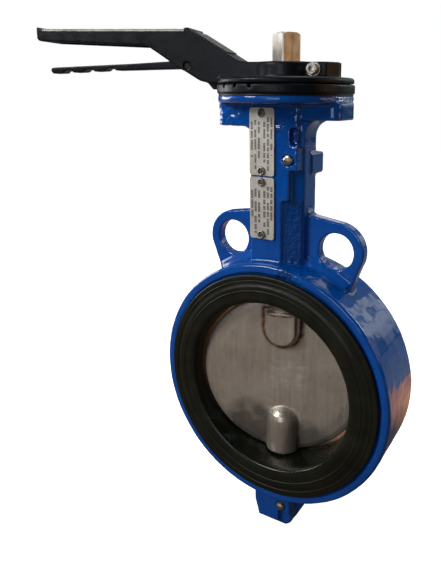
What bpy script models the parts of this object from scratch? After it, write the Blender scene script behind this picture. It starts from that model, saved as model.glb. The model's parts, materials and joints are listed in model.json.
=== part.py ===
"""Wafer butterfly valve DN125 with a notched hand lever, as separate named pieces.

Frame: the bore axis is Y, the stem axis is Z, and the origin is where they cross.
The front face looks along -Y. All lengths below are in millimetres.
"""
import math

import bmesh
import bpy
from mathutils import Matrix

MM = 0.001

# ---- driving dimensions ------------------------------------------------------------
BORE = 62.0                 # radius of the rubber bore
BODY_R = 90.0               # outside radius of the ring
BODY_HALF = 25.0            # half the width of the cast ring
FACE_HALF = 28.0            # half the face-to-face length, over the rubber
RIM_IN = 83.8               # inner radius of the blue rim
LINER_BACK = 70.0           # outside radius of the liner between its two flanges
LINER_FLANGE = 82.9         # outside radius of the liner's flanges
GAP = 0.3                   # what touching pieces keep between them
STEM_R = 9.5
LOWER_STEM_R = 8.0
SQUARE = 14.0               # across the flats of the stem's top
STEM_TOP = 241.0
TOP_FACE = 201.6            # the body's top face, where the notch plate sits
EAR_X, EAR_Z = 40.7, 100.0  # centre of the ear holes, on the 22.5 degree bolt line
EAR_HOLE_R = 12.4
LUG_SCREW_X = 35.0          # half the 70 mm spacing of the two top screws
PLATE_R = 45.5
PLATE_TOP = 208.3
LEVER_BASE = 208.7
HUB_TOP = 222.5
OPEN_ANGLE = 15.0           # the disc and the lever rest one notch open
NOTCH_STEP = 15.0
NOTCHES = 7                 # from closed to a quarter turn
PIVOT_R, PIVOT_Z = 65.0, 220.2
SPIGOT_R = 26.0             # shallow centring rings between body, plate and lever
UPPER_PIN_X, UPPER_PIN_Z = 11.0, 160.5
LOWER_PIN_X, LOWER_PIN_Z = 8.5, -98.0
PAD_HALF = 17.0             # the neck's front and back pads
CORE_X = 19.3               # half the neck's width
RIVET_X = -8.0
NAME_PLATES = {"name_plate_upper": (149.3, 193.6), "name_plate_lower": (106.0, 148.2)}
RIVET_INSET = 3.2


# ---- small tools --------------------------------------------------------------------
def clear_scene():
    for ob in list(bpy.data.objects):
        bpy.data.objects.remove(ob, do_unlink=True)


def material(name, colour, roughness, metallic=0.0):
    mat = bpy.data.materials.new(name)
    mat.use_nodes = True
    shader = mat.node_tree.nodes["Principled BSDF"]
    shader.inputs["Base Color"].default_value = (*colour, 1.0)
    shader.inputs["Roughness"].default_value = roughness
    shader.inputs["Metallic"].default_value = metallic
    mat.diffuse_color = (*colour, 1.0)
    return mat


def solid(name, bm):
    """Turn a bmesh in millimetres into an object in metres."""
    bmesh.ops.recalc_face_normals(bm, faces=bm.faces)
    bmesh.ops.scale(bm, vec=(MM, MM, MM), verts=bm.verts)
    mesh = bpy.data.meshes.new(name)
    bm.to_mesh(mesh)
    bm.free()
    ob = bpy.data.objects.new(name, mesh)
    bpy.context.scene.collection.objects.link(ob)
    return ob


def front(u, v, w):
    """Outline in X and Z, depth along Y."""
    return (u, w, v)


def plan(u, v, w):
    """Outline in X and Y, depth along Z."""
    return (u, v, w)


def side(u, v, w):
    """Outline in reach from the stem and Z, depth towards the lever's near side."""
    return (-u, -w, v)


def prism(name, outline, low, high, frame=front):
    bm = bmesh.new()
    bottom = [bm.verts.new(frame(u, v, low)) for u, v in outline]
    top = [bm.verts.new(frame(u, v, high)) for u, v in outline]
    bm.faces.new(bottom)
    bm.faces.new(list(reversed(top)))
    count = len(outline)
    for i in range(count):
        j = (i + 1) % count
        bm.faces.new((bottom[i], top[i], top[j], bottom[j]))
    return solid(name, bm)


def lathe(name, profile, axis="Z", segments=48, centre=(0.0, 0.0, 0.0)):
    """Spin (radius, height) points round an axis. A radius of 0 closes on the axis."""
    bm = bmesh.new()
    rings = []
    flat_ends = [one[0] == 0 and one[1] == two[1] for one, two in
                 ((profile[0], profile[1]), (profile[-1], profile[-2]))]
    on_axis = profile[0][0] == 0
    profile = profile[1 if flat_ends[0] else 0:len(profile) - (1 if flat_ends[1] else 0)]
    for radius, height in profile:
        ring = []
        for k in range(segments if radius > 0 else 1):
            angle = 2 * math.pi * k / segments
            a, b = radius * math.cos(angle), radius * math.sin(angle)
            place = {"Z": (a, b, height), "Y": (a, height, b)}[axis]
            ring.append(bm.verts.new([p + c for p, c in zip(place, centre)]))
        rings.append(ring)
    for flat, ring in zip(flat_ends, (rings[0], rings[-1])):
        if flat:
            bm.faces.new(ring)
    pairs = list(zip(rings, rings[1:])) + ([] if on_axis else [(rings[-1], rings[0])])
    for one, two in pairs:
        for k in range(segments):
            m = (k + 1) % segments
            corners = [one[k % len(one)], one[m % len(one)], two[m % len(two)], two[k % len(two)]]
            face = list(dict.fromkeys(corners))
            if len(face) > 2:
                bm.faces.new(face)
    return solid(name, bm)


def cylinder(radius, low, high, axis="Z", centre=(0.0, 0.0, 0.0), segments=32):
    profile = [(0, low), (radius, low), (radius, high), (0, high)]
    return lathe("cylinder", profile, axis, segments, centre)


def box(low, high, frame=plan):
    (x0, y0, z0), (x1, y1, z1) = low, high
    return prism("box", [(x0, y0), (x1, y0), (x1, y1), (x0, y1)], z0, z1, frame)


def arc(cx, cy, radius, start, end, steps=6):
    angles = [math.radians(start + (end - start) * k / steps) for k in range(steps + 1)]
    return [(cx + radius * math.cos(a), cy + radius * math.sin(a)) for a in angles]


def rounded(x0, y0, x1, y1, radius, steps=4):
    return (arc(x0 + radius, y0 + radius, radius, 180, 270, steps)
            + arc(x1 - radius, y0 + radius, radius, 270, 360, steps)
            + arc(x1 - radius, y1 - radius, radius, 0, 90, steps)
            + arc(x0 + radius, y1 - radius, radius, 90, 180, steps))


def combine(target, tool, operation):
    """Bake one exact boolean into the target and remove the tool."""
    modifier = target.modifiers.new(operation, "BOOLEAN")
    modifier.solver = "EXACT"
    modifier.operation = operation
    modifier.object = tool
    bpy.context.view_layer.update()
    graph = bpy.context.evaluated_depsgraph_get()
    baked = bpy.data.meshes.new_from_object(target.evaluated_get(graph))
    target.modifiers.clear()
    target.data = baked
    bpy.data.objects.remove(tool, do_unlink=True)
    return target


def join(target, *tools):
    for tool in tools:
        combine(target, tool, "UNION")
    return target


def cut(target, *tools):
    for tool in tools:
        combine(target, tool, "DIFFERENCE")
    return target


def finish(ob, name, mat, parent=None, sharp=35.0):
    """Name a piece, give it its material and smooth its round faces."""
    bm = bmesh.new()
    bm.from_mesh(ob.data)
    bmesh.ops.remove_doubles(bm, verts=bm.verts, dist=0.002 * MM)
    bmesh.ops.dissolve_degenerate(bm, edges=bm.edges, dist=0.001 * MM)
    bmesh.ops.recalc_face_normals(bm, faces=bm.faces)
    bm.to_mesh(ob.data)
    bm.free()
    ob.name = name
    ob.data.name = name
    ob.data.materials.clear()
    ob.data.materials.append(mat)
    for polygon in ob.data.polygons:
        polygon.use_smooth = True
    ob.data.set_sharp_from_angle(angle=math.radians(sharp))
    if parent is not None:
        ob.parent = parent
    return ob


# ---- the cast body ------------------------------------------------------------------
def body_ring():
    edge = 1.4
    half = [(LINER_BACK + GAP, BODY_HALF - 1.8), (RIM_IN, BODY_HALF - 1.8), (RIM_IN, BODY_HALF),
            (BODY_R - edge, BODY_HALF), (BODY_R, BODY_HALF - edge)]
    profile = [(r, -y) for r, y in half] + [(r, y) for r, y in reversed(half)]
    return lathe("ring", profile, "Y", 80)


def ear(mirror):
    """A round-ended web with a locating hole for a flange bolt."""
    web = 4.5
    outline = [(12, 84), (12, 128), (19.5, 128)] + arc(25, 128, 5.5, 180, 270, 3)
    outline += arc(EAR_X, EAR_Z, 20.0, 88, -30, 10) + [(53.5, 78), (51.5, 70), (40, 70)]
    return prism("ear", [(mirror * u, v) for u, v in outline], -web, web)


def web_root():
    """The cast fillet under the ears, where the webs meet the ring."""
    outline_low, outline_high = 57, 123
    bm = bmesh.new()
    profile = [(88, -10.5), (91, -7.5), (94.5, -5.5), (94.5, 5.5), (91, 7.5), (88, 10.5)]
    steps = 24
    rings = []
    for k in range(steps + 1):
        angle = math.radians(outline_low + (outline_high - outline_low) * k / steps)
        rings.append([bm.verts.new((r * math.cos(angle), y, r * math.sin(angle))) for r, y in profile])
    for one, two in zip(rings, rings[1:]):
        for i in range(len(profile)):
            j = (i + 1) % len(profile)
            bm.faces.new((one[i], one[j], two[j], two[i]))
    bm.faces.new(rings[0])
    bm.faces.new(list(reversed(rings[-1])))
    return solid("web_root", bm)


def neck():
    """Faceted core with flat pads front and back, two screw lugs and a round top."""
    fillet = 12.0
    left_under, right_under = 181.0, 186.0
    facets = [(CORE_X, -8.5), (CORE_X, 8.5), (6, 14.8), (-9, 14.8), (-CORE_X, 10), (-CORE_X, -10),
              (-9, -14.8), (6, -14.8)]
    column = prism("neck", facets, 82, 196.8, plan)
    gusset = [(0, 160), (CORE_X - 0.1, 160)]
    gusset += arc(CORE_X + fillet, right_under - fillet, fillet, 180, 90, 5)
    gusset += [(CORE_X + fillet, 196.7), (-CORE_X - fillet, 196.7)]
    gusset += arc(-CORE_X - fillet, left_under - fillet, fillet, 90, 0, 5) + [(-CORE_X + 0.1, 160)]
    pad_left, pad_top = -18.2, 196.9
    front_pad = [(pad_left, 81), (6.2, 81), (6.2, 133), (11.6, 133), (11.6, 153.5), (17.6, 153.5),
                 (17.6, 168), (17.6, pad_top), (pad_left, pad_top)]
    back_pad = [(pad_left, 81), (6.2, 81), (6.2, 149.5), (19.8, 149.5), (20.8, 150.5), (20.8, 163.5),
                (19.8, 164.5), (6.2, 164.5), (6.2, pad_top), (pad_left, pad_top)]
    shoulder = [(5, 168.3), (21.5, 168.3), (21.5, 176)] + arc(31.5, 176, 10, 180, 105, 4)
    shoulder += [(29, 196.6), (5, 196.6)]
    join(column,
         prism("gusset", gusset, -8.2, 8.2),
         prism("front_pad", front_pad, -PAD_HALF, 0.3),
         prism("back_pad", back_pad, 0, PAD_HALF),
         prism("shoulder", shoulder, -14, 4),
         prism("lug", rounded(-45, -PAD_HALF, -14, 12, 6), left_under, 197.1, plan),
         prism("lug", rounded(16, -PAD_HALF, 46, 12, 6), right_under, 197.1, plan))
    cut(column, box((12, -20, 170), (17.2, -12.5, 181)))
    top_disc = lathe("top_disc", [(0, 196.5), (43.8, 196.5), (45, 197.7), (45, 201.0), (44.4, TOP_FACE),
                                  (SPIGOT_R, TOP_FACE), (SPIGOT_R, TOP_FACE + 1), (0, TOP_FACE + 1)],
                     "Z", 72)
    return join(column, top_disc)


def bottom_boss():
    """The housing of the lower stem, stepped like the neck."""
    core = [(-13, -80), (-13.4, -100), (-9.5, -113), (-6, -116), (11.5, -116),
            (15.5, -112.5), (17, -104), (17, -80)]
    flank = [(-11, -82), (-10, -112), (12, -115.5), (16, -112), (22, -100), (24, -82)]
    pad = [(-14, -80.5), (-14, -100), (-10.5, -112.4), (6.6, -112.4), (6.6, -80.5)]
    pin_pad = [(5.5, -81), (5.5, -102.3), (16, -104), (16, -81)]
    return join(prism("boss", core, -16.5, 16.5),
                prism("flank", flank, -9, 9),
                prism("pad", pad, -20, 20),
                prism("pin_pad", pin_pad, -19.9, 19.9))


def rivet_places():
    for low, high in NAME_PLATES.values():
        yield high - RIVET_INSET
        yield low + RIVET_INSET


def make_body(mat):
    body = join(body_ring(), neck(), web_root(), ear(1), ear(-1), bottom_boss())
    bore = [(0, 55), (11.3, 55), (11.3, 86), (STEM_R + 0.5, 86), (STEM_R + 0.5, 171), (11.3, 171),
            (11.3, 206), (0, 206)]
    blind = [(0, -108), (LOWER_STEM_R + GAP, -108), (LOWER_STEM_R + GAP, -88), (10.3, -88),
             (10.3, -55), (0, -55)]
    cut(body,
        lathe("bore", bore, "Z", 40),
        lathe("blind", blind, "Z", 40),
        cylinder(3.8, -30, 30, "Y", (UPPER_PIN_X, 0, UPPER_PIN_Z), 24),
        cylinder(3.3, -30, 30, "Y", (LOWER_PIN_X, 0, LOWER_PIN_Z), 24))
    for sign, under in ((-1, 181.0), (1, 186.0)):
        spot = under + 1.2
        screw_hole = [(0, 178), (9.4, 178), (9.4, spot), (5.0, spot), (5.0, 192), (3.4, 192),
                      (3.4, 206), (0, 206)]
        cut(body,
            cylinder(EAR_HOLE_R, -8, 8, "Y", (sign * EAR_X, 0, EAR_Z), 40),
            lathe("screw_hole", screw_hole, "Z", 24, (sign * LUG_SCREW_X, 0, 0)))
    for z in rivet_places():
        cut(body, cylinder(1.9, -PAD_HALF - 2, -PAD_HALF + 4.5, "Y", (RIVET_X, 0, z), 12))
    return finish(body, "body", mat)


# ---- lining, bearings and seals -----------------------------------------------------
def make_seat(mat):
    half = [(BORE, 24.4), (62.9, 26.8), (65.6, FACE_HALF), (74.8, FACE_HALF), (76, 27.1),
            (LINER_FLANGE - 0.5, 27.1), (LINER_FLANGE, 26.6), (LINER_FLANGE, 23.6), (LINER_BACK, 23.6)]
    profile = [(r, -y) for r, y in half] + [(r, y) for r, y in reversed(half)]
    seat = lathe("seat", profile, "Y", 80)
    cut(seat,
        cylinder(STEM_R + GAP, 50, 80, segments=40),
        cylinder(LOWER_STEM_R + GAP, -80, -50, segments=40))
    return finish(seat, "seat_liner", mat)


def make_bushings(bushing, rubber):
    for name, inner, outer, low, high in (
            ("upper_bushing", STEM_R + GAP, 11.0, 172, 188),
            ("middle_bushing", STEM_R + GAP, 11.0, 71.5, 85.5),
            ("lower_bushing", LOWER_STEM_R + GAP, 10.0, -87.5, -71.5)):
        ring = [(inner, low), (outer, low), (outer, high), (inner, high)]
        finish(lathe(name, ring, "Z", 32), name, bushing)
    for name, z in (("stem_oring_lower", 190.2), ("stem_oring_upper", 192.4)):
        finish(lathe(name, arc(10.4, z, 0.6, 0, 300, 5), "Z", 28), name, rubber)
    lip = [(STEM_R + GAP, 194.2), (11.0, 194.2), (11.0, 199.8), (10.6, 200.6), (STEM_R + GAP, 201.2)]
    finish(lathe("stem_dust_seal", lip, "Z", 32), "stem_dust_seal", rubber)


def make_retaining_pins(mat):
    for name, radius, x, z, reach in (
            ("upper_retaining_pin", 3.5, UPPER_PIN_X, UPPER_PIN_Z, PAD_HALF),
            ("lower_retaining_pin", 3.0, LOWER_PIN_X, LOWER_PIN_Z, 19.9)):
        half = [(radius, reach + 0.2), (radius * 0.85, reach + 1.1), (radius * 0.5, reach + 1.7),
                (0, reach + 1.9)]
        profile = [(r, -y) for r, y in reversed(half)] + half
        finish(lathe(name, profile, "Y", 24, (x, 0, z)), name, mat)


# ---- disc and stems -----------------------------------------------------------------
def diamond(across):
    """A square outline with its corners on the X and Y axes."""
    reach = across / math.sqrt(2)
    return [(reach, 0), (0, reach), (-reach, 0), (0, -reach)]


def make_disc(mat, turning):
    rim = BORE - GAP
    half = [(rim, 1.6), (rim - 0.9, 3.0), (57, 4.2), (50, 4.8), (0, 5.0)]
    disc = lathe("disc", [(r, -y) for r, y in reversed(half)] + half, "Y", 80)
    boss, tongue, skirt = 13.3, 10.6, 13.6
    shield = arc(0, 26 + tongue, tongue, 180, 360, 12) + [(tongue, 51), (-tongue, 51)]
    step = arc(0, 23.4 + skirt, skirt, 180, 360, 12) + [(skirt, 52.5), (-skirt, 52.5)]
    foot = -60.2
    dome = [(0, foot), (boss, foot)] + arc(0, -37.5, boss, 0, 90, 6)[:-1] + [(0, -37.5 + boss)]
    join(disc,
         prism("step", step, -7.2, 7.2),
         prism("shield", shield, -11.7, 11.7),
         cylinder(10.6, 35, 60.5, segments=40),
         lathe("dome", dome, "Z", 40))
    cut(disc,
        prism("socket", diamond(12.6), 29, 65, plan),
        cylinder(LOWER_STEM_R + GAP, -65, -33, segments=40))
    return finish(disc, "disc", mat, turning)


def make_stems(mat, turning):
    groove = 7.1
    shaft = [(0, 61.4), (STEM_R, 61.4), (STEM_R, 156.4), (groove, 156.4), (groove, 164.6),
             (STEM_R, 164.6), (STEM_R, 204.5), (0, 204.5)]
    stem = lathe("stem", shaft, "Z", 40)
    head = prism("head", diamond(SQUARE), 203, STEM_TOP, plan)
    corner = STEM_R - 0.15
    turned = [(0, 202), (corner, 202), (corner, STEM_TOP - 1.2), (corner - 1.7, STEM_TOP + 0.1),
              (0, STEM_TOP + 0.1)]
    combine(head, lathe("turned", turned, "Z", 40), "INTERSECT")
    join(stem, head, prism("tang", diamond(12.0), 31, 62, plan))
    finish(stem, "upper_stem", mat, turning)
    low_groove = 5.1
    lower = [(0, -106.5), (LOWER_STEM_R - 1, -106.5), (LOWER_STEM_R, -105.5), (LOWER_STEM_R, -101.8),
             (low_groove, -101.8), (low_groove, -94.2), (LOWER_STEM_R, -94.2), (LOWER_STEM_R, -34.5),
             (LOWER_STEM_R - 1, -33.5), (0, -33.5)]
    finish(lathe("lower_stem", lower, "Z", 32), "lower_stem", mat, turning)


# ---- notch plate --------------------------------------------------------------------
def make_notch_plate(mat, screw_mat):
    base = TOP_FACE + GAP
    hole = 12.5
    profile = [(hole, base + 1.3), (SPIGOT_R + GAP, base + 1.3), (SPIGOT_R + GAP, base),
               (PLATE_R - 1.0, base), (PLATE_R, base + 1.0), (PLATE_R, PLATE_TOP - 0.6),
               (PLATE_R - 0.6, PLATE_TOP), (SPIGOT_R, PLATE_TOP), (SPIGOT_R, PLATE_TOP + 1.0),
               (hole, PLATE_TOP + 1.0)]
    plate = lathe("plate", profile, "Z", 80)
    for k in range(NOTCHES):
        notch = box((-50, -1.3, 206.0), (-43.0, 1.3, 212))
        notch.rotation_euler[2] = math.radians(NOTCH_STEP * k)
        cut(plate, notch)
    for name, sign in (("plate_screw_left", -1), ("plate_screw_right", 1)):
        x = sign * LUG_SCREW_X
        sink = [(0, 196), (3.4, 196), (3.4, 204.6), (6.6, 207.8), (6.6, 212), (0, 212)]
        cut(plate, lathe("sink", sink, "Z", 24, (x, 0, 0)))
        screw = [(0, 193.5), (3.0, 193.5), (3.0, 204.8), (5.9, 207.7), (0, 207.7)]
        ob = lathe(name, screw, "Z", 24, (x, 0, 0))
        cut(ob, prism("hex", arc(x, 0, 2.3, 0, 300, 5), 205.4, 210, plan))
        finish(ob, name, screw_mat)
    return finish(plate, "notch_plate", mat)


# ---- lever --------------------------------------------------------------------------
ARM_HALF = 13.0
WALL = 3.0
SLOPE = ((29.0, HUB_TOP + 0.8), (63.0, 243.4))
CLAMP_SCREW_R, CLAMP_SCREW_Z = -21.0, 217.6
EAR_FACE = 13.4


def arm_outline():
    outline = [(6, LEVER_BASE + 0.1), (49, LEVER_BASE + 0.1), (55.8, 210.4), (66.8, 216.8), (71.5, 218.7),
               (78, 223.5), (86.5, 229.0), (91, 231.8), (96, 233.4), (172, 237.2)]
    outline += arc(174.2, 240.2, 3.0, 270, 360, 4) + [(177.2, 246.2), (176.4, 246.9), (175.6, 246.5)]
    stop = [(66.2, 243.5), (65.6, 244.4), (62.4, 244.3)]
    outline += [(174.2, 245.6)] + stop + [SLOPE[1], SLOPE[0], (22, HUB_TOP), (6, HUB_TOP)]
    return outline


def make_lever(mat, turning):
    flange = [(0, LEVER_BASE), (44.6, LEVER_BASE), (45, LEVER_BASE + 0.5), (45, 211.4),
              (43.6, 212.6), (0, 212.6)]
    lever = lathe("lever", flange, "Z", 72)
    hub = [(0, 210), (20.6, 210), (20.2, HUB_TOP - 1.0), (19.2, HUB_TOP), (0, HUB_TOP)]
    nose = [(8, EAR_FACE), (29, EAR_FACE - 0.4), (36, 4.5), (36, -4.5), (29, -EAR_FACE + 0.4), (8, -EAR_FACE)]
    join(lever,
         lathe("hub", hub, "Z", 48),
         prism("nose", nose, LEVER_BASE + 0.2, HUB_TOP - 0.2, plan),
         prism("arm", arm_outline(), -ARM_HALF, ARM_HALF, side))
    inner = ARM_HALF - WALL
    channel = [(46, 200), (46, 226), (58, 236.0), (64, 240.4), (171, 242.5), (171, 200)]
    screw_at = (-CLAMP_SCREW_R, 0, CLAMP_SCREW_Z)
    cut(lever,
        prism("channel", channel, -inner, inner, side),
        prism("socket", diamond(SQUARE + 0.7), 205, 226, plan),
        cylinder(SPIGOT_R + GAP, 205, PLATE_TOP + 1.3, segments=48),
        box((7, -1.5, 205), (50, 1.5, 226)),
        cylinder(2.3, -20, 20, "Y", screw_at, 24),
        cylinder(2.3, -20, 20, "Y", (-PIVOT_R, 0, PIVOT_Z), 20))
    return finish(lever, "lever_handle", mat, turning)


def make_label(mat, turning):
    (r0, z0), (r1, z1) = SLOPE
    run = math.hypot(r1 - r0, z1 - z0)
    along = ((r1 - r0) / run, (z1 - z0) / run)
    across = (-along[1], along[0])

    def at(distance, lift):
        return tuple(base + distance * a + lift * n for base, a, n in zip((r0, z0), along, across))

    outline = [at(10, GAP), at(35, GAP), at(35, GAP + 0.6), at(10, GAP + 0.6)]
    finish(prism("label", outline, -9.5, 9.5, side), "lever_label", mat, turning)


def make_clamp(steel, turning):
    centre = (-CLAMP_SCREW_R, 0, CLAMP_SCREW_Z)
    face = -EAR_FACE - GAP
    washer = [(2.3, face), (4.4, face), (4.4, face - 1.2), (2.3, face - 1.2)]
    finish(lathe("washer", washer, "Y", 28, centre), "clamp_washer", steel, turning)
    seat = face - 1.2 - GAP
    head = seat - 6.5
    screw = [(0, 12.0), (1.6, 12.0), (2.0, 11.4), (2.0, seat), (3.5, seat), (3.5, head + 0.5),
             (3.0, head), (0, head)]
    ob = lathe("screw", screw, "Y", 28, centre)
    socket = arc(centre[0], centre[2], 2.0, 0, 300, 5)
    cut(ob, prism("hex", socket, head - 3, head + 3.0, front))
    finish(ob, "clamp_screw", steel, turning)


def trigger_underside(reach):
    """Straight lower edge with three shallow finger scallops."""
    z = 215.6 + (172.0 - reach) * 0.04
    for centre in (160.5, 143.5, 126.5):
        offset = abs(reach - centre) / 4.0
        if offset < 1:
            z += 1.8 * math.sqrt(1 - offset ** 2)
    return z


def make_trigger(mat, turning, pivot):
    top = [(174.4, 217.8), (173.6, 219.4), (172, 219.9), (108.8, 222.2), (80.5, 223.6), (72, 225.8),
           (65, 226.7), (59.5, 224.4), (55, 216.7), (51.5, 211.4), (46.1, 208.4), (46.1, 205.0),
           (49.8, 205.0), (53, 208.7), (61, 213.8), (72.5, 218.6)]
    reaches = [122 + k for k in range(0, 45)] + [172.6]
    lower = [(r, trigger_underside(r)) for r in reaches]
    trigger = prism("trigger", top + lower, -4.5, 4.5, side)
    cut(trigger, cylinder(2.3, -20, 20, "Y", (-PIVOT_R, 0, PIVOT_Z), 20))
    trigger.data.transform(Matrix.Translation((PIVOT_R * MM, 0, -PIVOT_Z * MM)))
    finish(trigger, "trigger", mat, pivot)
    pin = [(0, -11.8), (2.0, -11.8), (2.0, 11.8), (0, 11.8)]
    finish(lathe("pin", pin, "Y", 20, (-PIVOT_R, 0, PIVOT_Z)), "trigger_pivot_pin", mat, turning)


def make_trigger_spring(mat, turning):
    """Torsion spring wound on the pivot pin, one leg on the trigger, one on the arm."""
    coil, wire, turns = 3.6, 0.6, 2.5
    points = [(81, 225.2, 0.5), (77, 226.1, 3.4), (72, 227.0, 5.6)]
    steps = 30
    for k in range(steps + 1):
        angle = math.radians(90 - 360 * turns * k / steps)
        points.append((PIVOT_R + coil * math.cos(angle), PIVOT_Z + coil * math.sin(angle),
                       5.8 + 2.9 * k / steps))
    points += [(58, 217.7, 8.8), (53.5, 222.8, 8.8)]
    curve = bpy.data.curves.new("spring", "CURVE")
    curve.dimensions = "3D"
    curve.bevel_depth = wire * MM
    curve.bevel_resolution = 1
    curve.use_fill_caps = True
    spline = curve.splines.new("POLY")
    spline.points.add(len(points) - 1)
    for point, (r, z, n) in zip(spline.points, points):
        point.co = (*[MM * c for c in side(r, z, n)], 1.0)
    holder = bpy.data.objects.new("spring", curve)
    bpy.context.scene.collection.objects.link(holder)
    bpy.context.view_layer.update()
    graph = bpy.context.evaluated_depsgraph_get()
    mesh = bpy.data.meshes.new_from_object(holder.evaluated_get(graph))
    bpy.data.objects.remove(holder, do_unlink=True)
    ob = bpy.data.objects.new("spring", mesh)
    bpy.context.scene.collection.objects.link(ob)
    finish(ob, "trigger_spring", mat, turning)


# ---- name plates --------------------------------------------------------------------
def make_name_plates(mat, rivet_mat):
    face = -PAD_HALF - GAP
    for name, (low, high) in NAME_PLATES.items():
        plate = prism("plate", rounded(-17.3, low, 1.3, high, 1.8), face - 1.0, face)
        for z in (high - RIVET_INSET, low + RIVET_INSET):
            cut(plate, cylinder(1.9, -30, -10, "Y", (RIVET_X, 0, z), 12))
        finish(plate, name, mat)
    seat = face - 1.0 - GAP
    for number, z in enumerate(rivet_places(), 1):
        head = [(0, -PAD_HALF + 4.0), (1.5, -PAD_HALF + 4.0), (1.5, seat), (2.9, seat), (2.8, seat - 0.5),
                (2.2, seat - 1.1), (1.2, seat - 1.5), (0.9, seat - 0.9), (0, seat - 0.4)]
        name = f"rivet_{number}"
        finish(lathe(name, head, "Y", 12, (RIVET_X, 0, z)), name, rivet_mat)


def main():
    clear_scene()
    blue = material("blue_epoxy", (0.008, 0.085, 0.36), 0.28)
    black = material("black_powder_coat", (0.012, 0.013, 0.017), 0.42)
    rubber = material("epdm_rubber", (0.022, 0.024, 0.019), 0.55)
    cast_steel = material("cast_stainless", (0.36, 0.33, 0.30), 0.42, 0.85)
    stem_steel = material("stem_steel", (0.56, 0.52, 0.47), 0.38, 0.9)
    bright = material("bright_zinc", (0.70, 0.70, 0.70), 0.22, 1.0)
    aluminium = material("plate_aluminium", (0.60, 0.60, 0.58), 0.42, 0.6)
    bushing = material("ptfe_bushing", (0.55, 0.50, 0.40), 0.5)
    spring_steel = material("spring_steel", (0.40, 0.40, 0.42), 0.3, 1.0)

    turning = bpy.data.objects.new("turning_axis", None)
    turning.rotation_euler[2] = math.radians(OPEN_ANGLE)
    bpy.context.scene.collection.objects.link(turning)
    pivot = bpy.data.objects.new("trigger_axis", None)
    pivot.location = (-PIVOT_R * MM, 0, PIVOT_Z * MM)
    pivot.parent = turning
    bpy.context.scene.collection.objects.link(pivot)

    make_body(blue)
    make_seat(rubber)
    make_bushings(bushing, rubber)
    make_retaining_pins(bright)
    make_disc(cast_steel, turning)
    make_stems(stem_steel, turning)
    make_notch_plate(black, bright)
    make_lever(black, turning)
    make_label(aluminium, turning)
    make_clamp(bright, turning)
    make_trigger(black, turning, pivot)
    make_trigger_spring(spring_steel, turning)
    make_name_plates(aluminium, bright)


main()
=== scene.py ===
"""Looks for the wafer butterfly valve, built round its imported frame. Metres, +Z up."""
import json
import math
import random

import bmesh
import bpy
import numpy as np
from mathutils import Matrix, Vector, noise

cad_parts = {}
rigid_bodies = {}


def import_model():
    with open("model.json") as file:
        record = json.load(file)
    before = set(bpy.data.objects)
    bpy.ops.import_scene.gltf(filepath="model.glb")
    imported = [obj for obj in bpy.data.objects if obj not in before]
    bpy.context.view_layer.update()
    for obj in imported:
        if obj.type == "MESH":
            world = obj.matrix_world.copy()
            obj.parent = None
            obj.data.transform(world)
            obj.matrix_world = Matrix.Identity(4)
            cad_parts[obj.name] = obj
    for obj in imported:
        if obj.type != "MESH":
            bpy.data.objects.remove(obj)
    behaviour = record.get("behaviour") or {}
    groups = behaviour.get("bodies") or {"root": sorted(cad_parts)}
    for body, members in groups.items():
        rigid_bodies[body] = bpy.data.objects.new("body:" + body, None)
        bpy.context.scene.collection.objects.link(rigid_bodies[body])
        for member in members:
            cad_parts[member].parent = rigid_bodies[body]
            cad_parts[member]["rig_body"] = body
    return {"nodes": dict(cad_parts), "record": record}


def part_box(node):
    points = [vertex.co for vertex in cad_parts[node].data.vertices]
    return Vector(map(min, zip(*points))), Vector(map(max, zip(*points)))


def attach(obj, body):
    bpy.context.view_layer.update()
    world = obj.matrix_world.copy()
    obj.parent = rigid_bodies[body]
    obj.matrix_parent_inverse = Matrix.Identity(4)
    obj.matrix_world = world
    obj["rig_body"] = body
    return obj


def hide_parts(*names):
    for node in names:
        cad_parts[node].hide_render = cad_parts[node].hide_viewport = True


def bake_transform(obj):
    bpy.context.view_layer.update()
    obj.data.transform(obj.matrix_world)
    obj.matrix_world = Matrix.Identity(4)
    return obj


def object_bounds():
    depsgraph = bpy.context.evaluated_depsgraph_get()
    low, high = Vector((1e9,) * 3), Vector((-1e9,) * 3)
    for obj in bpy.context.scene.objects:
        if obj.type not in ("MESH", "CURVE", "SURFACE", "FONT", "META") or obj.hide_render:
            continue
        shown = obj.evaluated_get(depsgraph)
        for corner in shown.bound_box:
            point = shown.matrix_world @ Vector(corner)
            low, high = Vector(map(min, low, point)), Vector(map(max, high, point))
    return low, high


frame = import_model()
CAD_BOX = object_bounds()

NODES = frame["nodes"]
HELD, TURNING, SQUEEZED = "valve_body", "stem_and_lever", "trigger"

REST = math.radians(15.0)        # the disc and the lever rest one notch open
TURNED = Matrix.Rotation(REST, 4, "Z")
LOCAL = np.array(TURNED.inverted().to_3x3())
WHITE = (1.0, 1.0, 1.0)


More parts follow.
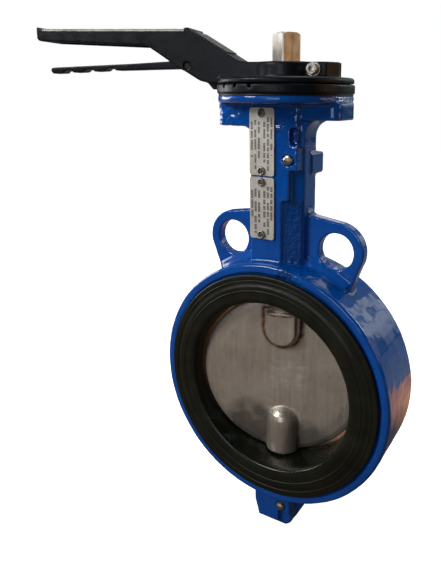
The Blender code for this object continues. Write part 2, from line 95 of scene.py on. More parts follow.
# ---- node helpers -------------------------------------------------------------------
class Nodes:
    """A node tree that is written a node at a time."""

    def __init__(self, tree):
        self.tree = tree

    def node(self, kind, values=None, **settings):
        made = self.tree.nodes.new(kind)
        for key, value in settings.items():
            setattr(made, key, value)
        for key, value in (values or {}).items():
            self.put(made.inputs[key], value)
        return made

    def put(self, socket, value):
        if isinstance(value, bpy.types.NodeSocket):
            self.tree.links.new(value, socket)
        else:
            socket.default_value = value

    def math(self, kind, a, b):
        return self.node("ShaderNodeMath", {0: a, 1: b}, operation=kind).outputs[0]

    def times(self, a, b):
        return self.math("MULTIPLY", a, b)

    def span(self, value, low, high, out_low=0.0, out_high=1.0):
        """The value's run from low to high, as out_low to out_high, held at both ends."""
        values = {"Value": value, "From Min": low, "From Max": high, "To Min": out_low,
                  "To Max": out_high}
        return self.node("ShaderNodeMapRange", values).outputs["Result"]

    def vary(self, noisy, low, high):
        """The usual run of a noise, spread from low to high."""
        return self.span(noisy, 0.3, 0.7, low, high)

    def blend(self, amount, a, b):
        """Colour a where the amount is nought, colour b where it is one."""
        made = self.node("ShaderNodeMix", data_type="RGBA")
        self.put(made.inputs["Factor"], amount)
        for socket, value in ((made.inputs[6], a), (made.inputs[7], b)):
            self.put(socket, value if isinstance(value, bpy.types.NodeSocket) else (*value, 1.0))
        return made.outputs[2]


class Look(Nodes):
    """A Principled material."""

    def __init__(self, name, colour, roughness, metallic=0.0, **plain):
        self.mat = bpy.data.materials.new(name)
        self.mat.use_nodes = True
        super().__init__(self.mat.node_tree)
        self.shader = self.tree.nodes["Principled BSDF"]
        self.set("Base Color", (*colour, 1.0))
        self.set("Roughness", roughness)
        self.set("Metallic", metallic)
        for key, value in plain.items():
            self.set(key.replace("_", " "), value)
        self.where = self.node("ShaderNodeTexCoord").outputs["Object"]

    def set(self, name, value):
        self.put(self.shader.inputs[name], value)

    def grain(self, size, detail=3.0, rough=0.5, warp=0.0, stretch=None):
        """Noise whose lumps are about size metres across."""
        place = self.where
        if stretch is not None:
            values = {"Vector": place, "Scale": stretch}
            place = self.node("ShaderNodeMapping", values).outputs[0]
        values = {"Vector": place, "Scale": 0.5 / size, "Detail": detail, "Roughness": rough,
                  "Distortion": warp}
        return self.node("ShaderNodeTexNoise", values).outputs["Fac"]

    def attribute(self, name):
        return self.node("ShaderNodeAttribute", attribute_name=name).outputs["Fac"]

    def bump(self, *layers):
        """layers are (height, depth in metres), the finest last."""
        normal = None
        for height, depth in layers:
            values = {"Height": height, "Strength": 1.0, "Distance": depth}
            if normal is not None:
                values["Normal"] = normal
            normal = self.node("ShaderNodeBump", values).outputs["Normal"]
        self.set("Normal", normal)

    def edges(self):
        """Above 0.5 on convex edges, below it in hollows."""
        return self.node("ShaderNodeNewGeometry").outputs["Pointiness"]


# ---- materials ----------------------------------------------------------------------
def epoxy():
    """Thick glossy paint with orange peel and painted shade in its hollows; on the marked sand-cast
    panel it is dull and rough, and darkened with painted shade.
    """
    look = Look("blue_epoxy", (0.002, 0.085, 0.42), 0.3, Coat_Weight=0.8, Coat_Roughness=0.04,
                Specular_IOR_Level=0.08)
    thick, thin = (0.0006, 0.058, 0.30), (0.0008, 0.082, 0.40)
    painted_shade_in_hollows, painted_shade_on_sand = (0.001, 0.026, 0.15), (0.001, 0.030, 0.15)
    sandy_shaded = look.attribute("sandy_shaded")
    patches = look.span(look.grain(0.02, detail=4.0, rough=0.6), 0.35, 0.7)
    colour = look.blend(patches, thick, thin)
    # Painted shade: the paint is darkened in concave hollows and creases.
    hollow = look.span(look.edges(), 0.44, 0.5, 1.0, 0.0)
    colour = look.blend(look.times(hollow, 0.5), colour, painted_shade_in_hollows)
    # Painted shade: the sand-cast panel's colour is darkened, besides its real grain and roughness.
    look.set("Base Color", look.blend(look.times(sandy_shaded, 0.6), colour, painted_shade_on_sand))
    rough = look.vary(look.grain(0.006), 0.2, 0.42)
    look.set("Roughness", look.math("ADD", rough, look.times(sandy_shaded, 0.12)))
    sag = look.grain(0.014, detail=2.0, warp=0.6)
    peel = look.grain(0.0042, detail=2.0, rough=0.55)
    sand = look.times(look.grain(0.0016, rough=0.6, warp=0.4), sandy_shaded)
    look.bump((sag, 0.0012), (peel, 0.00036), (sand, 0.0022),
              (look.grain(0.0014, rough=0.6), 0.00007))
    return look.mat


def powder():
    """Satin black paint over castings, dusty in patches, and paler on its convex edges: rubbed
    paint and a painted highlight.
    """
    look = Look("black_powder_coat", (0.008, 0.010, 0.014), 0.38, Specular_IOR_Level=0.17)
    clean, dusty, rubbed_and_lit = (0.004, 0.006, 0.010), (0.014, 0.016, 0.021), (0.09, 0.095, 0.10)
    # Paler on convex edges: rubbed paint and a painted highlight.
    worn = look.times(look.span(look.edges(), 0.53, 0.6), look.grain(0.006, detail=4.0, rough=0.7))
    dust = look.span(look.grain(0.01, detail=5.0, rough=0.7), 0.5, 0.8)
    colour = look.blend(look.times(dust, 0.2), clean, dusty)
    look.set("Base Color", look.blend(look.times(worn, 0.3), colour, rubbed_and_lit))
    look.set("Roughness", look.vary(look.grain(0.004, detail=4.0), 0.29, 0.44))
    look.bump((look.grain(0.011, detail=2.0), 0.0003), (look.grain(0.0012, detail=2.0), 0.0001))
    return look.mat


def rubber():
    """Moulded black rubber with a faint bloom, wet where the mesh is marked grease."""
    look = Look("epdm_rubber", (0.010, 0.011, 0.007), 0.5, Specular_IOR_Level=0.28)
    plain, bloomed, greasy = (0.0045, 0.0055, 0.003), (0.0125, 0.014, 0.0085), (0.022, 0.032, 0.026)
    grease = look.attribute("grease")
    bloom = look.span(look.grain(0.015, detail=5.0, rough=0.65), 0.42, 0.75)
    smear = look.span(look.grain(0.009, detail=4.0, rough=0.6, warp=1.2), 0.55, 0.66)
    colour = look.blend(bloom, plain, bloomed)
    look.set("Base Color", look.blend(look.times(smear, grease), colour, greasy))
    rough = look.vary(look.grain(0.007, detail=5.0, rough=0.7), 0.33, 0.55)
    look.set("Roughness", look.math("SUBTRACT", rough, look.times(grease, 0.2)))
    look.bump((look.grain(0.02, detail=2.0), 0.0005), (look.grain(0.0011), 0.00004))
    return look.mat


def cast_steel():
    """Cast stainless steel, with rust, grinding marks, a painted highlight, painted shade and
    polish where the mesh is marked.
    """
    look = Look("cast_stainless", (0.46, 0.41, 0.36), 0.5, 0.72)
    dark, pale, pit = (0.45, 0.395, 0.34), (0.60, 0.54, 0.475), (0.16, 0.12, 0.09)
    bright, shaded_tone, rusty = (0.72, 0.69, 0.64), (0.13, 0.115, 0.10), (0.15, 0.066, 0.028)
    rust = look.attribute("rust")
    cloud = look.span(look.grain(0.018, detail=5.0, rough=0.62), 0.36, 0.68)
    spots = look.span(look.grain(0.0015, detail=2.0), 0.66, 0.76)
    streaks = look.grain(0.0011, rough=0.6, stretch=(1.0, 1.0, 0.06))
    scuff = look.grain(0.0016, rough=0.6, warp=0.3, stretch=(0.35, 1.0, 1.0))
    # Paler where marked: grinding marks, and a painted highlight along the dome's fillet.
    ground_and_glint = look.times(look.attribute("ground_and_glint"), look.span(scuff, 0.35, 0.65))
    colour = look.blend(cloud, dark, pale)
    colour = look.blend(look.times(spots, 0.35), colour, pit)
    colour = look.blend(ground_and_glint, colour, bright)
    # Painted shade: darker where the mesh is marked low on the disc.
    colour = look.blend(look.times(look.attribute("shade_low"), 0.8), colour, shaded_tone)
    look.set("Base Color", look.blend(rust, colour, rusty))
    rough = look.math("ADD", look.vary(streaks, 0.4, 0.58), look.times(rust, 0.25))
    polish = look.times(look.attribute("polish"), 0.16)
    look.set("Roughness", look.math("SUBTRACT", rough, polish))
    look.bump((look.grain(0.007), 0.0004), (streaks, 0.00005))
    return look.mat


def turned_steel():
    """The stem: upright tool marks, a brown tint in places and painted shade along its edges."""
    clean, tinted, worn = (0.66, 0.64, 0.60), (0.48, 0.42, 0.35), (0.10, 0.075, 0.06)
    look = Look("stem_steel", clean, 0.33, 0.9)
    tint = look.span(look.grain(0.005, detail=4.0, rough=0.6), 0.4, 0.66)
    # Painted shade: convex edges are darkened to a deep brown-black.
    edge_shade = look.span(look.edges(), 0.52, 0.58)
    colour = look.blend(tint, clean, tinted)
    look.set("Base Color", look.blend(look.times(edge_shade, 0.7), colour, worn))
    cuts = look.grain(0.0007, detail=2.0, stretch=(1.0, 1.0, 0.08))
    look.set("Roughness", look.vary(cuts, 0.4, 0.58))
    look.bump((cuts, 0.00004), (look.grain(0.0009), 0.00004))
    return look.mat


def bright_steel(name, colour, roughness, rust):
    """Plated steel with specks of rust, as strong as rust says."""
    look = Look(name, colour, roughness, 1.0)
    spots = look.span(look.grain(0.0018, detail=4.0, rough=0.7), 0.52, 0.7)
    look.set("Base Color", look.blend(look.times(spots, rust), colour, (0.20, 0.11, 0.06)))
    look.set("Roughness", look.vary(look.grain(0.0009), roughness * 0.7, roughness * 1.6))
    look.bump((look.grain(0.0006, detail=2.0), 0.00002))
    return look.mat


def sheet_aluminium():
    """The name plates: hazy sheet, brushed upright."""
    look = Look("plate_aluminium", (0.70, 0.68, 0.63), 0.42, 0.55)
    haze = look.span(look.grain(0.008, detail=5.0, rough=0.7), 0.4, 0.7)
    look.set("Base Color", look.blend(haze, (0.74, 0.72, 0.68), (0.58, 0.55, 0.50)))
    brush = look.grain(0.0006, rough=0.6, stretch=(1.0, 1.0, 0.05))
    look.set("Roughness", look.vary(brush, 0.36, 0.5))
    look.bump((brush, 0.00002))
    return look.mat


def painted_grip_highlight():
    """A painted highlight: pale grey with darker gaps, for the line along the grip's top edge."""
    look = Look("grip_edge_highlight", (0.36, 0.35, 0.31), 0.4, 0.4)
    gaps = look.span(look.grain(0.006, detail=5.0, rough=0.7), 0.42, 0.6)
    look.set("Base Color", look.blend(gaps, (0.46, 0.45, 0.41), (0.26, 0.255, 0.235)))
    look.bump((look.grain(0.0008), 0.00004))
    return look.mat


def ink_and_hole_shade():
    """The dark strokes on the plates and the label, faded unevenly; also the painted shade in the
    rivets' holes.
    """
    look = Look("stamped_marks_and_hole_shade", (0.05, 0.048, 0.045), 0.55)
    fade = look.grain(0.003)
    look.set("Base Color", look.blend(fade, (0.03, 0.028, 0.026), (0.13, 0.125, 0.115)))
    look.bump((look.grain(0.0005, detail=2.0), 0.00001))
    return look.mat


def moulded(name, colour, roughness, **plain):
    """A plain material whose tone drifts a little to each side of its colour."""
    look = Look(name, colour, roughness, **plain)
    low, high = [0.8 * c for c in colour], [min(1.0, 1.15 * c) for c in colour]
    look.set("Base Color", look.blend(look.grain(0.004), low, high))
    look.bump((look.grain(0.0009, detail=2.0), 0.00003))
    return look.mat


# ---- shapes -------------------------------------------------------------------------
def vectors_of(mesh, what):
    """The co or the normal of every vertex, one row each."""
    flat = np.zeros(len(mesh.vertices) * 3)
    mesh.vertices.foreach_get(what, flat)
    return flat.reshape(-1, 3)


def put_points(mesh, co):
    mesh.vertices.foreach_set("co", np.ascontiguousarray(co).ravel())
    mesh.update()


def paint(mesh, name, values):
    layer = mesh.attributes.new(name, "FLOAT", "POINT")
    layer.data.foreach_set("value", np.ascontiguousarray(values, dtype=np.float32))


def added(name, data):
    ob = bpy.data.objects.new(name, data)
    bpy.context.scene.collection.objects.link(ob)
    return ob


def added_from(bm, name):
    mesh = bpy.data.meshes.new(name)
    bm.to_mesh(mesh)
    bm.free()
    return added(name, mesh)


def apply_modifiers(ob):
    evaluated = ob.evaluated_get(bpy.context.evaluated_depsgraph_get())
    made = bpy.data.meshes.new_from_object(evaluated)
    ob.modifiers.clear()
    old = ob.data
    ob.data = made
    bpy.data.meshes.remove(old)


def wear_only(ob, mat):
    ob.data.materials.clear()
    ob.data.materials.append(mat)


def dress(ob, body, mat, smooth=True):
    wear_only(ob, mat)
    if smooth:
        ob.data.shade_smooth()
    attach(ob, body)
    return ob


def slot_of(node):
    return next(part["material_slot"] for part in frame["record"]["subparts"]
                if part["node"] == node)


def middle_of(node):
    low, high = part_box(node)
    return [(a + b) / 2 for a, b in zip(low, high)]


def copy_of(node, name):
    """A CAD node's mesh under a new name, with its seams joined."""
    ob = added(name, NODES[node].data.copy())
    bm = bmesh.new()
    bm.from_mesh(ob.data)
    bmesh.ops.remove_doubles(bm, verts=bm.verts, dist=0.00001)
    bm.to_mesh(ob.data)
    bm.free()
    if "custom_normal" in ob.data.attributes:
        ob.data.attributes.remove(ob.data.attributes["custom_normal"])
    return ob


def ripple(co, size):
    return np.array([noise.noise(Vector(p) / size) for p in co])


def mound(co, centre, radius):
    """One at the centre, fading to nothing at the radius."""
    away = np.linalg.norm(co - np.array(centre), axis=1) / radius
    return np.clip(1 - away, 0, 1)


def ridge(co, line, width):
    """One on a line of points, fading to nothing at its width."""
    best = np.full(len(co), 1e9)
    for one, two in zip(line, line[1:]):
        a, d = np.array(one), np.array(two) - np.array(one)
        t = np.clip((co - a) @ d / max(d @ d, 1e-18), 0, 1)
        best = np.minimum(best, np.linalg.norm(co - a - t[:, None] * d, axis=1))
    return np.clip(1 - best / width, 0, 1)


def window(values, low, high, soft):
    """One between low and high, falling to nothing over soft on each side."""
    return np.clip((values - low) / soft + 1, 0, 1) * np.clip((high - values) / soft + 1, 0, 1)


def spun(name, profile, place=(0, 0, 0), axis="Z", steps=96):
    """A closed ring or plug from (radius, height) points, turned about an axis."""
    bm = bmesh.new()
    upright, rows = axis == "Z", []
    for k in range(steps):
        turn = 2 * math.pi * k / steps
        c, s = math.cos(turn), math.sin(turn)
        rows.append([bm.verts.new((r * c, r * s, h) if upright else (r * c, h, -r * s))
                     for r, h in profile])
    count = len(profile)
    for k in range(steps):
        one, two = rows[k], rows[(k + 1) % steps]
        for i in range(count):
            j = (i + 1) % count
            bm.faces.new((one[i], two[i], two[j], one[j]))
    bmesh.ops.remove_doubles(bm, verts=bm.verts, dist=1e-7)
    bmesh.ops.dissolve_degenerate(bm, edges=bm.edges, dist=1e-7)
    bmesh.ops.recalc_face_normals(bm, faces=bm.faces)
    bmesh.ops.translate(bm, verts=bm.verts, vec=place)
    return added_from(bm, name)


def blocks(name, boxes, turn=None):
    """Many small boxes, each given by its middle and half sizes, as one mesh."""
    bm = bmesh.new()
    for middle, half in boxes:
        box = Matrix.Translation(middle) @ Matrix.Diagonal((*[2 * h for h in half], 1.0))
        bmesh.ops.create_cube(bm, size=1.0, matrix=box)
    if turn is not None:
        bmesh.ops.transform(bm, matrix=turn, verts=bm.verts)
    return added_from(bm, name)


def cast_copy(node, mat, voxel, rounds, lumps=0.0):
    """A fine copy of a CAD node with its edges rounded over and its faces gently uneven."""
    lump_size = 0.012
    ob = copy_of(node, node + "_cast")
    remesh = ob.modifiers.new("remesh", "REMESH")
    remesh.mode = "VOXEL"
    remesh.voxel_size = voxel
    smooth = ob.modifiers.new("smooth", "SMOOTH")
    smooth.factor = 0.5
    smooth.iterations = rounds
    apply_modifiers(ob)
    if lumps:
        co, out = vectors_of(ob.data, "co"), vectors_of(ob.data, "normal")
        wave = ripple(co, lump_size) + 0.5 * ripple(co, lump_size / 2.3)
        put_points(ob.data, co + out * (wave * lumps - lumps)[:, None])
    dress(ob, NODES[node]["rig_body"], mat)
    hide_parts(node)
    return ob


# ---- pieces -------------------------------------------------------------------------
BLUE = epoxy()
BLACK = powder()
RUBBER = rubber()
STEEL = cast_steel()
SPRING = bright_steel("spring_steel", (0.40, 0.40, 0.42), 0.3, 0.4)
DULL = bright_steel("dull_zinc", (0.34, 0.325, 0.30), 0.34, 0.5)
BRASSY = bright_steel("rusty_pin", (0.46, 0.36, 0.22), 0.36, 0.7)
MARKS_AND_SHADE = ink_and_hole_shade()
FOIL = moulded("printed_foil", (0.20, 0.205, 0.21), 0.6, Specular_IOR_Level=0.15)
GRIP_HIGHLIGHT = painted_grip_highlight()
PLAIN = {
    "blue_epoxy": BLUE,
    "black_powder_coat": BLACK,
    "epdm_rubber": RUBBER,
    "cast_stainless": STEEL,
    "stem_steel": turned_steel(),
    "bright_zinc": bright_steel("bright_zinc", (0.72, 0.70, 0.66), 0.24, 0.25),
    "plate_aluminium": sheet_aluminium(),
    "ptfe_bushing": moulded("ptfe_bushing", (0.50, 0.44, 0.33), 0.5),
    "spring_steel": SPRING,
}
for node_name, node_object in NODES.items():
    wear_only(node_object, PLAIN[slot_of(node_name)])


def make_body():
    """The casting, with sagging paint round the pocket and the pin, and one sand-cast panel that is
    also given painted shade.
    """
    mesh = cast_copy("body", BLUE, voxel=0.0008, rounds=10, lumps=0.00016).data
    co, out = vectors_of(mesh, "co"), vectors_of(mesh, "normal")
    pin_x, _, pin_z = middle_of("upper_retaining_pin")
    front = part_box("upper_retaining_pin")[0][1]
    sags = sum(amount * mound(co, place, radius) for amount, place, radius in (
        (1.0, (pin_x, front, pin_z), 0.010),
        (1.0, (pin_x + 0.002, front, pin_z + 0.011), 0.006),
        (1.0, (pin_x - 0.006, front, pin_z + 0.021), 0.007),
        (1.0, (pin_x + 0.004, front, pin_z + 0.028), 0.006),
        (0.8, (-0.036, front, pin_z + 0.028), 0.016),
        (0.8, (0.020, -0.018, 0.086), 0.014)))
    sags = np.clip(sags, 0, 1) ** 0.7
    sag_size, sag_depth = 0.0028, 0.0011
    put_points(mesh, co + out * (sags * ripple(co, sag_size) * sag_depth)[:, None])
    facing = np.clip(-out[:, 1] * 2 - 1, 0, 1)
    across = window(co[:, 0], 0.0072, 0.0175, soft=0.001)
    upright = window(co[:, 2], 0.084, 0.1325, soft=0.0015)
    paint(mesh, "sandy_shaded", across * upright * facing)


def make_seat():
    """The rubber liner, greasy along the bottom of its bore."""
    bore = 0.066
    mesh = cast_copy("seat_liner", RUBBER, voxel=0.0009, rounds=2).data
    co = vectors_of(mesh, "co")
    inside = np.clip((bore - np.hypot(co[:, 0], co[:, 2])) / 0.002, 0, 1)
    paint(mesh, "grease", inside * np.clip((-co[:, 2] - 0.03) / 0.012, 0, 1))


def tongue_outline(grow):
    """The upper tongue on the disc's front, in the disc's own frame, grown by a margin."""
    tongue, foot, top = 0.0136, 0.0234, 0.052
    radius, centre = tongue + grow, foot + tongue
    turns = [math.pi * (1 + k / 16) for k in range(17)]
    arc = [(radius * math.cos(a), 0.0, centre + radius * math.sin(a)) for a in turns]
    return [(-radius, 0.0, top)] + arc + [(radius, 0.0, top)]


def make_disc():
    """The disc: a rusty line round its upper tongue, grinding marks, a painted highlight round the
    dome, painted shade low on its front and a bright dome.
    """
    mesh = cast_copy("disc", STEEL, voxel=0.0007, rounds=3, lumps=0.00005).data
    co = vectors_of(mesh, "co") @ LOCAL.T
    x, y, z = co[:, 0], co[:, 1], co[:, 2]
    near = y < 0.0
    flat = np.stack([x, np.zeros(len(co)), z], 1)

    edge = ridge(flat, tongue_outline(0.0006), 0.0030)
    stub_line = [(-0.0105, 0.0, 0.0505), (-0.005, 0.0, 0.0490), (0.005, 0.0, 0.0490),
                 (0.0105, 0.0, 0.0505)]
    stub = ridge(flat, stub_line, 0.0012)
    uneven = 0.75 + 0.5 * ripple(co, 0.004)
    rust = np.clip(1.5 * np.maximum(edge, 0.9 * stub) * uneven, 0, 1)
    hub = (z > 0.051) * (np.abs(x) < 0.0125) * 0.22
    paint(mesh, "rust", np.where(near, np.maximum(rust, hub), 0.6 * rust))

    patch = window(x, -0.007, 0.015, soft=0.004) * window(z, -0.008, 0.010, soft=0.004)
    # Painted highlight: a pale line along the fillet round the top of the dome.
    crown_radius, crown_z = 0.0146, -0.0375
    crown_line = [(crown_radius * math.cos(a), 0.0, crown_radius * math.sin(a) + crown_z)
                  for a in (math.pi * k / 12 for k in range(13))]
    crown = ridge(flat, crown_line, 0.0016)
    ground_and_glint = np.maximum(patch * (0.6 + 0.8 * ripple(co, 0.005)), 0.8 * crown)
    paint(mesh, "ground_and_glint", np.where(near, np.clip(ground_and_glint, 0, 1), 0))

    dome = near * np.clip((-0.0065 - y) / 0.002, 0, 1) * (z < 0)
    paint(mesh, "polish", dome)
    # Painted shade: two darker patches low on the front, at the lower left and the lower right.
    shade_low = mound(flat, (-0.023, 0, -0.045), 0.026) + mound(flat, (0.021, 0, -0.051), 0.019)
    shade_low = np.clip(2.2 * shade_low * (1 + ripple(co, 0.009)), 0, 1)
    paint(mesh, "shade_low", shade_low * near * (1 - dome))


def stroke_row(low, high, seed):
    """Word-like runs of short strokes between low and high, as (middle, half length)."""
    between, word_gap = 0.0002, 0.001
    draw = random.Random(seed)
    place, strokes, word = high, [], draw.randint(3, 8)
    while place > low:
        length = draw.uniform(0.00045, 0.0009)
        strokes.append((place - length / 2, length / 2))
        place -= length + between
        word -= 1
        if word == 0:
            place -= word_gap * draw.choice((1, 1, 1, 3))
            word = draw.randint(3, 8)
    return strokes


def make_plate_marks():
    """Rows of meaningless strokes that run along each name plate."""
    # each row's share of the plate's width, and its margins at the top and at the bottom
    rows = ((0.10, 0.009, 0.012), (0.24, 0.008, 0.004), (0.39, 0.009, 0.012),
            (0.61, 0.009, 0.009), (0.76, 0.006, 0.004), (0.90, 0.006, 0.014))
    proud, half_depth = 0.00001, 0.00003
    for number, plate in enumerate(("name_plate_upper", "name_plate_lower")):
        low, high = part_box(plate)
        width, half_stroke, boxes = high[0] - low[0], 0.00072 + 0.00012 * number, []
        for row, (share, top, bottom) in enumerate(rows):
            x = low[0] + share * width
            for z, half in stroke_row(low[2] + bottom, high[2] - top, 10 * number + row):
                boxes.append(((x, low[1] - proud, z), (half_stroke, half_depth, half)))
        marks = blocks(plate + "_marks", boxes)
        dress(marks, HELD, MARKS_AND_SHADE, smooth=False)


def make_rivets():
    """Blind rivets: a low domed flange round a hollow stem, with a dark plug of painted shade in
    the hole.
    """
    stem, flange_depth = 0.0015, 0.0015
    for number in range(1, 5):
        node = f"rivet_{number}"
        x, _, z = middle_of(node)
        low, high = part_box(node)
        face, back, seat = low[1], high[1], low[1] + flange_depth
        profile = [(0.0, back), (stem, back), (stem, seat), (0.0029, seat),
                   (0.0029, seat - 0.0003), (0.0027, seat - 0.0009), (0.0024, face + 0.0001),
                   (0.0020, face), (0.00165, face + 0.0003), (0.00155, face + 0.0020),
                   (0.0, face + 0.0021)]
        rivet = spun(node + "_detail", profile, (x, 0, z), "Y", 40)
        dress(rivet, HELD, DULL)
        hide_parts(node)
        # Painted shade: a dark plug sits inside each rivet's hole.
        shallow, deep = face + 0.0009, face + 0.0017
        plug = [(0.0, shallow), (stem, shallow), (stem, deep), (0.0, deep)]
        hollow = spun(node + "_hollow", plug, (x, 0, z), "Y", 24)
        dress(hollow, HELD, MARKS_AND_SHADE)


def make_grip_edge():
    """The pale line of painted highlight along the grip's top edge."""
    reach_in, reach_out = 0.066, 0.172
    top_in, top_out = 0.24350, 0.24555
    side, drop, half_depth, half_height = -0.0131, 0.0010, 0.00012, 0.0006
    steps, strip = 60, []
    half_length = 0.51 * (reach_out - reach_in) / steps      # a hair over half, so that they join
    for k in range(steps):
        reach = reach_in + (reach_out - reach_in) * (k + 0.5) / steps
        top = top_in + (top_out - top_in) * (k + 0.5) / steps
        strip.append(((-reach, side, top - drop), (half_length, half_depth, half_height)))
    edge = blocks("grip_edge_strip", strip, TURNED)
    dress(edge, TURNING, GRIP_HIGHLIGHT, smooth=False)


def make_label_face():
    """The slope label is dull printed foil with rows of meaningless strokes."""
    face = copy_of("lever_label", "lever_label_foil")
    dress(face, TURNING, FOIL, smooth=False)
    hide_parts("lever_label")
    co = vectors_of(face.data, "co") @ LOCAL.T
    high_end, low_end = co[co[:, 2].argmax()], co[co[:, 0].argmax()]
    along = np.array((low_end[0] - high_end[0], 0.0, low_end[2] - high_end[2]))
    run = np.linalg.norm(along)
    along = along / run
    lift = Vector((-along[2], 0.0, along[0]))
    lift = lift if lift.z > 0 else -lift
    base = Vector((high_end[0], 0.0, high_end[2]))
    margin, half_width, half_depth, strips = 0.002, 0.0007, 0.00003, []
    for row in range(5):
        across = -0.0068 + 0.0034 * row
        for start, half in stroke_row(margin, run - margin, 40 + row):
            strips.append(((start, across, 0.0), (half, half_width, half_depth)))
    axes = Matrix((Vector(along), Vector((0, 1, 0)), lift)).transposed().to_4x4()
    marks = blocks("lever_label_marks", strips, TURNED @ Matrix.Translation(base) @ axes)
    dress(marks, TURNING, MARKS_AND_SHADE, smooth=False)


def make_spring():
    """The torsion spring's wire, copied, shaded smooth and put in place of the CAD node."""
    wire = copy_of("trigger_spring", "trigger_spring_wire")
    wear_only(wire, SPRING)
    wire.data.shade_smooth()
    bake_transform(wire)
    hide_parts("trigger_spring")


def make_joint_bead():
    """Paint and sealant in the joint between the top flange and the notch plate."""
    low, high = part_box("notch_plate")
    radius = (high[0] - low[0]) / 2 - 0.0009
    base, top = low[2] - 0.0012, low[2] + 0.0006
    inner, shoulder, bevel = radius - 0.004, radius - 0.0006, 0.0005
    profile = [(inner, base), (shoulder, base), (radius, base + bevel), (radius, top - bevel),
               (shoulder, top), (inner, top)]
    dress(spun("joint_bead", profile), HELD, BLACK)


def make_odd_metal():
    """The clamp screw, its washer and the two pins are duller than the plain zinc."""
    for node, mat in (("clamp_screw", DULL), ("clamp_washer", DULL),
                      ("upper_retaining_pin", DULL), ("lower_retaining_pin", BRASSY)):
        worn = copy_of(node, node + "_worn")
        dress(worn, NODES[node]["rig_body"], mat, smooth=False)
        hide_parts(node)


def make_seat_beads():
    """Two thin moulded rings on each sealing face, near its rim and near its bore."""
    low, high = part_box("seat_liner")
    flange = (high[0] - low[0]) / 2
    rise, sink = 0.00035, 0.0004
    for name, side in (("front", -1), ("rear", 1)):
        for ring, radius, face in (("outer", flange - 0.0044, 0.0271), ("inner", 0.0716, 0.0280)):
            profile = [(radius + out, side * (face + up)) for out, up in (
                (-0.0007, -sink), (-0.0006, 0.0), (-0.0003, rise),
                (0.0003, rise), (0.0006, 0.0), (0.0007, -sink))]
            bead = spun(f"seat_{name}_{ring}_bead", profile, axis="Y", steps=160)
            dress(bead, HELD, RUBBER)


make_body()
make_seat()
make_disc()
cast_copy("lever_handle", BLACK, voxel=0.0006, rounds=3, lumps=0.00004)
cast_copy("trigger", BLACK, voxel=0.0005, rounds=3)
cast_copy("notch_plate", BLACK, voxel=0.0006, rounds=3, lumps=0.00002)
make_plate_marks()
make_rivets()
make_grip_edge()
make_joint_bead()
make_odd_metal()
make_seat_beads()
make_label_face()
make_spring()


# ---- room ---------------------------------------------------------------------------
# name, place, aimed at, size, power in watts and colour
LAMPS = (
    ("key", (-0.55, -0.80, 0.70), (0, 0, 0.08), (0.45, 0.45), 8.8, (1.0, 0.985, 0.95)),
    ("front", (0.12, -1.1, 0.30), (0, 0, 0.02), (0.5, 0.4), 1.9, (0.96, 0.98, 1.0)),
    ("left", (-1.0, -0.05, 0.30), (0, 0, 0.15), (0.55, 0.35), 4.6, WHITE),
    ("warm", (0.95, 0.14, 0.30), (0, 0, 0.24), (0.4, 0.3), 0.95, (1.0, 0.50, 0.11)),
    ("side", (0.75, 0.75, 0.65), (0, 0, 0.08), (0.25, 0.5), 2.3, (0.92, 0.96, 1.0)),
    ("window", (-0.34, 1.0, 0.55), (0, 0, 0.08), (0.22, 0.16), 0.15, (1.0, 0.95, 0.9)),
    ("top", (0.0, 0.2, 1.1), (0, 0, 0.1), (0.5, 0.5), 3.0, WHITE),
)


def make_lamp(name, place, towards, size, power, colour):
    lamp = bpy.data.lights.new(name, "AREA")
    lamp.shape = "RECTANGLE"
    lamp.size, lamp.size_y = size
    lamp.energy = power
    lamp.color = colour
    ob = added(name, lamp)
    ob.location = place
    ob.rotation_euler = (Vector(towards) - Vector(place)).to_track_quat("-Z", "Y").to_euler()


def make_world():
    """A pale wall behind and a dark room in front, which the camera itself sees as plain white."""
    dark, dim, bright = (0.020, 0.022, 0.028), (0.10, 0.19, 0.30), (1.7, 1.75, 1.6)
    world = bpy.data.worlds.new("studio")
    world.use_nodes = True
    room = Nodes(world.node_tree)
    towards = room.node("ShaderNodeTexCoord").outputs["Generated"]
    x, y, z = room.node("ShaderNodeSeparateXYZ", {0: towards}).outputs
    behind = room.span(y, 0.25, 0.75)
    above = room.times(room.span(z, 0.0, 0.25, 0.25, 1.0), room.span(z, -0.03, 0.0))
    to_the_right = room.span(x, -0.15, 0.15, 0.25, 1.0)
    wall = room.times(room.times(behind, above), to_the_right)
    tall = room.node("ShaderNodeMapping", {"Vector": towards, "Scale": (1.0, 1.0, 0.15)})
    uprights = room.node("ShaderNodeTexNoise", {"Vector": tall.outputs[0], "Scale": 7.0,
                                                "Detail": 2.0}).outputs["Fac"]
    colour = room.blend(wall, dark, room.blend(room.span(uprights, 0.46, 0.56), dim, bright))
    seen = room.node("ShaderNodeLightPath").outputs["Is Camera Ray"]
    background = room.tree.nodes["Background"]
    room.put(background.inputs["Color"], room.blend(seen, colour, WHITE))
    bpy.context.scene.world = world


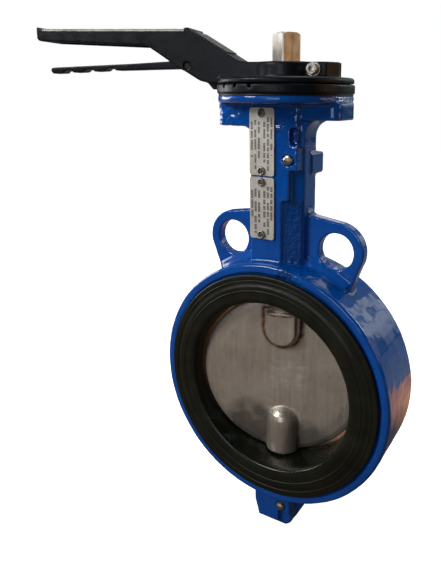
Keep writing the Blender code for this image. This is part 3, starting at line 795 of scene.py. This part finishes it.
def make_floor():
    """Pale to the camera; what it lights and mirrors is dark, brown behind, then grey-blue."""
    dark, brown, far = (0.004, 0.003, 0.002), (0.85, 0.38, 0.15), (0.16, 0.21, 0.27)
    reach, low = 3.0, CAD_BOX[0][2] - 0.0002
    mesh = bpy.data.meshes.new("floor")
    mesh.from_pydata([(-reach, -reach, low), (reach, -reach, low), (reach, reach, low),
                      (-reach, reach, low)], [], [(0, 1, 2, 3)])
    floor = added("floor", mesh)
    look = Look("floor", (0.10, 0.065, 0.04), 0.8)
    y = look.node("ShaderNodeSeparateXYZ", {0: look.where}).outputs["Y"]
    colour = look.blend(look.span(y, 0.13, 0.20), dark, brown)
    look.set("Emission Color", look.blend(look.span(y, 0.30, 0.312), colour, far))
    look.set("Emission Strength", 1.0)
    pale = look.node("ShaderNodeBsdfDiffuse", {"Color": (0.9, 0.9, 0.9, 1.0)})
    glow = look.node("ShaderNodeEmission", {"Color": (*WHITE, 1.0), "Strength": 0.93})
    both = look.node("ShaderNodeAddShader", {0: pale.outputs[0], 1: glow.outputs[0]})
    seen = look.node("ShaderNodeLightPath").outputs["Is Camera Ray"]
    mix = look.node("ShaderNodeMixShader",
                    {0: seen, 1: look.shader.outputs[0], 2: both.outputs[0]})
    look.put(look.tree.nodes["Material Output"].inputs["Surface"], mix.outputs[0])
    mesh.materials.append(look.mat)


def make_camera():
    azimuth, elevation, roll = (math.radians(a) for a in (28.7, 12.8, 0.4))
    distance, target = 0.3862, Vector((0.0, 0.0, 0.11575))
    back = Vector((math.sin(azimuth) * math.cos(elevation),
                   -math.cos(azimuth) * math.cos(elevation), math.sin(elevation)))
    right = (-back).cross(Vector((0, 0, 1))).normalized()
    up = right.cross(-back)
    c, s = math.cos(roll), math.sin(roll)
    right, up = c * right + s * up, c * up - s * right
    lens = bpy.data.cameras.new("camera")
    lens.sensor_fit = "HORIZONTAL"
    lens.sensor_width = 36.0
    lens.lens = 45.07
    lens.shift_x, lens.shift_y = -0.1465, -0.1395
    lens.clip_start, lens.clip_end = 0.01, 20.0
    ob = added("camera", lens)
    pose = Matrix((right, up, back)).transposed().to_4x4()
    pose.translation = target + distance * back
    ob.matrix_world = pose
    bpy.context.scene.camera = ob


make_world()
make_floor()
for lamp_values in LAMPS:
    make_lamp(*lamp_values)
make_camera()
bpy.context.scene.view_settings.view_transform = "Standard"
